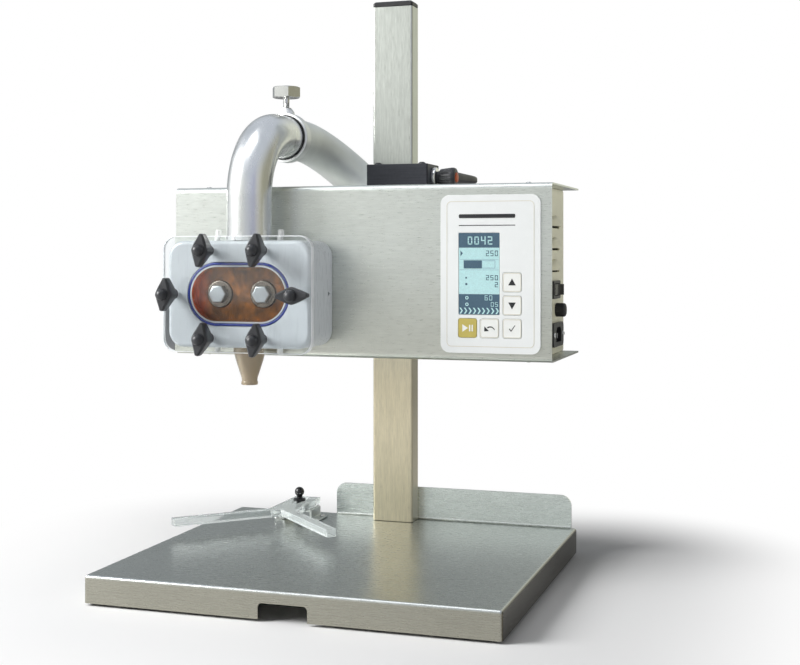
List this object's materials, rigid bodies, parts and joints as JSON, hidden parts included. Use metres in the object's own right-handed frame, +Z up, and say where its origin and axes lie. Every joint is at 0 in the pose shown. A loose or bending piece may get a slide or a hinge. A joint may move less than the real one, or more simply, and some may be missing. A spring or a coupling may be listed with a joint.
{
  "type": "honey filling machine",
  "caption": "Bench-top honey filling machine: gear pump head on a height-adjustable column over a stainless base plate with a jar guide.",
  "frame": {"origin": "top face of the base plate, straight below the nozzle, where a jar's centre stands", "axes": "+Z up, +X to the operator's right, +Y away from the operator towards the column"},
  "size_m": [0.355, 0.3533, 0.5278],
  "materials": {
    "brushed_steel": "directional brushed stainless steel",
    "satin_steel": "satin stainless steel, soft reflections",
    "polished_steel": "polished stainless steel",
    "cream_enamel": "satin cream powder coat",
    "milky_plastic": "machined milky white polyethylene",
    "clear_acrylic": "clear polished acrylic",
    "amber_polyurethane": "amber polyurethane, honey-wet",
    "blue_rubber": "blue silicone",
    "black_rubber": "matt black rubber",
    "black_plastic": "slightly glossy black moulded plastic",
    "charcoal_anodised": "charcoal anodised aluminium",
    "orange_plastic": "orange-red moulded plastic",
    "white_plastic": "white moulded plastic or printed film",
    "gold_print": "gold printed film",
    "lcd_glass": "pale cyan liquid crystal display",
    "board_green": "green circuit board and supply module"
  },
  "bodies": {
    "base": {"base_plate": "satin_steel", "foot_front_left": "black_rubber", "foot_front_right": "black_rubber", "foot_rear_left": "black_rubber", "foot_rear_right": "black_rubber", "column": "brushed_steel", "column_cap": "black_plastic", "jar_guide_bracket": "satin_steel"},
    "jar_guide": {"jar_guide": "clear_acrylic"},
    "jar_guide_knob": {"jar_guide_knob": "black_plastic"},
    "head": {"housing_cover": "brushed_steel", "left_end_panel": "cream_enamel", "right_end_panel": "cream_enamel", "rear_panel": "brushed_steel", "clamp_block": "charcoal_anodised", "keypad_overlay": "white_plastic", "lcd_window": "lcd_glass", "control_board": "board_green", "rocker_frame": "black_plastic", "power_inlet": "black_plastic", "power_supply": "board_green", "pump_body": "milky_plastic", "chamber_seal": "blue_rubber", "gear_plate": "satin_steel", "gear_motor": "black_plastic", "inlet_elbow": "polished_steel", "joint_gasket": "black_rubber", "clamp_ring": "satin_steel", "nozzle": "clear_acrylic", "plug_top_left": "white_plastic", "plug_top_right": "white_plastic", "plug_bottom_left": "white_plastic", "plug_bottom_right": "white_plastic"},
    "clamp_lever": {"clamp_lever": "black_plastic", "clamp_stud": "polished_steel"},
    "lever_button": {"lever_button": "orange_plastic"},
    "pump_cover": {"pump_cover": "clear_acrylic"},
    "drive_train": {"drive_shaft": "polished_steel", "drive_rotor": "amber_polyurethane", "drive_nut": "polished_steel", "drive_gear": "brushed_steel"},
    "idler_train": {"idler_shaft": "polished_steel", "idler_rotor": "amber_polyurethane", "idler_nut": "polished_steel"},
    "motor_pinion": {"motor_pinion": "brushed_steel"},
    "supply_bend": {"supply_bend": "satin_steel"},
    "clamp_screw": {"clamp_screw": "polished_steel"},
    "power_rocker": {"power_rocker": "black_plastic"},
    "fuse_cap": {"fuse_cap": "black_plastic"},
    "wing_knob_1": {"wing_knob_1": "black_plastic"},
    "wing_knob_2": {"wing_knob_2": "black_plastic"},
    "wing_knob_3": {"wing_knob_3": "black_plastic"},
    "wing_knob_4": {"wing_knob_4": "black_plastic"},
    "wing_knob_5": {"wing_knob_5": "black_plastic"},
    "wing_knob_6": {"wing_knob_6": "black_plastic"},
    "key_start": {"key_start": "gold_print"},
    "key_back": {"key_back": "white_plastic"},
    "key_confirm": {"key_confirm": "white_plastic"},
    "key_down": {"key_down": "white_plastic"},
    "key_up": {"key_up": "white_plastic"}
  },
  "joints": [
    {"name": "head_height", "type": "slide", "parent": "base", "child": "head", "axis": [0, 0, 1], "range_m": [-0.12, 0.15]},
    {"name": "clamp_lever_turn", "type": "hinge", "parent": "head", "child": "clamp_lever", "pos_m": [0.129, 0.142, 0.332], "axis": [1, 0, 0], "range_deg": [0, 170]},
    {"name": "lever_button_press", "type": "slide", "parent": "clamp_lever", "child": "lever_button", "axis": [-1, 0, 0], "range_m": [0, 0.002]},
    {"name": "pump_cover_removal", "type": "slide", "parent": "head", "child": "pump_cover", "axis": [0, -1, 0], "range_m": [0, 0.05]},
    {"name": "drive_rotor_turn", "type": "hinge", "parent": "head", "child": "drive_train", "pos_m": [0.02075, 0, 0.2235], "axis": [0, 1, 0], "continuous": true},
    {"name": "idler_rotor_turn", "type": "hinge", "parent": "head", "child": "idler_train", "pos_m": [-0.02075, 0, 0.2235], "axis": [0, 1, 0], "continuous": true},
    {"name": "motor_pinion_turn", "type": "hinge", "parent": "head", "child": "motor_pinion", "pos_m": [0.06075, 0.06, 0.2235], "axis": [0, 1, 0], "continuous": true},
    {"name": "supply_bend_swivel", "type": "hinge", "parent": "head", "child": "supply_bend", "pos_m": [0, 0.09, 0.369], "axis": [0, 1, 0], "range_deg": [-15, 40]},
    {"name": "clamp_screw_turn", "type": "hinge", "parent": "head", "child": "clamp_screw", "pos_m": [0, 0.085, 0.4], "axis": [0, 0, 1], "continuous": true},
    {"name": "power_rocker_tilt", "type": "hinge", "parent": "head", "child": "power_rocker", "pos_m": [0.2543, 0.114, 0.2262], "axis": [0, 0, 1], "range_deg": [0, 18]},
    {"name": "fuse_cap_turn", "type": "hinge", "parent": "head", "child": "fuse_cap", "pos_m": [0.2533, 0.119, 0.2075], "axis": [1, 0, 0], "range_deg": [0, 90]},
    {"name": "jar_guide_slide", "type": "slide", "parent": "base", "child": "jar_guide", "axis": [0, 1, 0], "range_m": [-0.016, 0.01]},
    {"name": "jar_guide_knob_turn", "type": "hinge", "parent": "base", "child": "jar_guide_knob", "pos_m": [0, 0.118, 0.02], "axis": [0, 0, 1], "continuous": true},
    {"name": "wing_knob_1_turn", "type": "hinge", "parent": "pump_cover", "child": "wing_knob_1", "pos_m": [-0.0253, -0.03, 0.2619], "axis": [0, 1, 0], "continuous": true},
    {"name": "wing_knob_2_turn", "type": "hinge", "parent": "pump_cover", "child": "wing_knob_2", "pos_m": [0.0253, -0.03, 0.2619], "axis": [0, 1, 0], "continuous": true},
    {"name": "wing_knob_3_turn", "type": "hinge", "parent": "pump_cover", "child": "wing_knob_3", "pos_m": [-0.0253, -0.03, 0.1851], "axis": [0, 1, 0], "continuous": true},
    {"name": "wing_knob_4_turn", "type": "hinge", "parent": "pump_cover", "child": "wing_knob_4", "pos_m": [0.0253, -0.03, 0.1851], "axis": [0, 1, 0], "continuous": true},
    {"name": "wing_knob_5_turn", "type": "hinge", "parent": "pump_cover", "child": "wing_knob_5", "pos_m": [-0.06, -0.03, 0.2235], "axis": [0, 1, 0], "continuous": true},
    {"name": "wing_knob_6_turn", "type": "hinge", "parent": "pump_cover", "child": "wing_knob_6", "pos_m": [0.06, -0.03, 0.2235], "axis": [0, 1, 0], "continuous": true},
    {"name": "key_start_press", "type": "slide", "parent": "head", "child": "key_start", "axis": [0, 1, 0], "range_m": [0, 0.0004]},
    {"name": "key_back_press", "type": "slide", "parent": "head", "child": "key_back", "axis": [0, 1, 0], "range_m": [0, 0.0004]},
    {"name": "key_confirm_press", "type": "slide", "parent": "head", "child": "key_confirm", "axis": [0, 1, 0], "range_m": [0, 0.0004]},
    {"name": "key_down_press", "type": "slide", "parent": "head", "child": "key_down", "axis": [0, 1, 0], "range_m": [0, 0.0004]},
    {"name": "key_up_press", "type": "slide", "parent": "head", "child": "key_up", "axis": [0, 1, 0], "range_m": [0, 0.0004]}
  ],
  "couplings": [
    {"joint": "idler_rotor_turn", "follows": "drive_rotor_turn", "ratio": -1},
    {"joint": "motor_pinion_turn", "follows": "drive_rotor_turn", "ratio": -3}
  ]
}
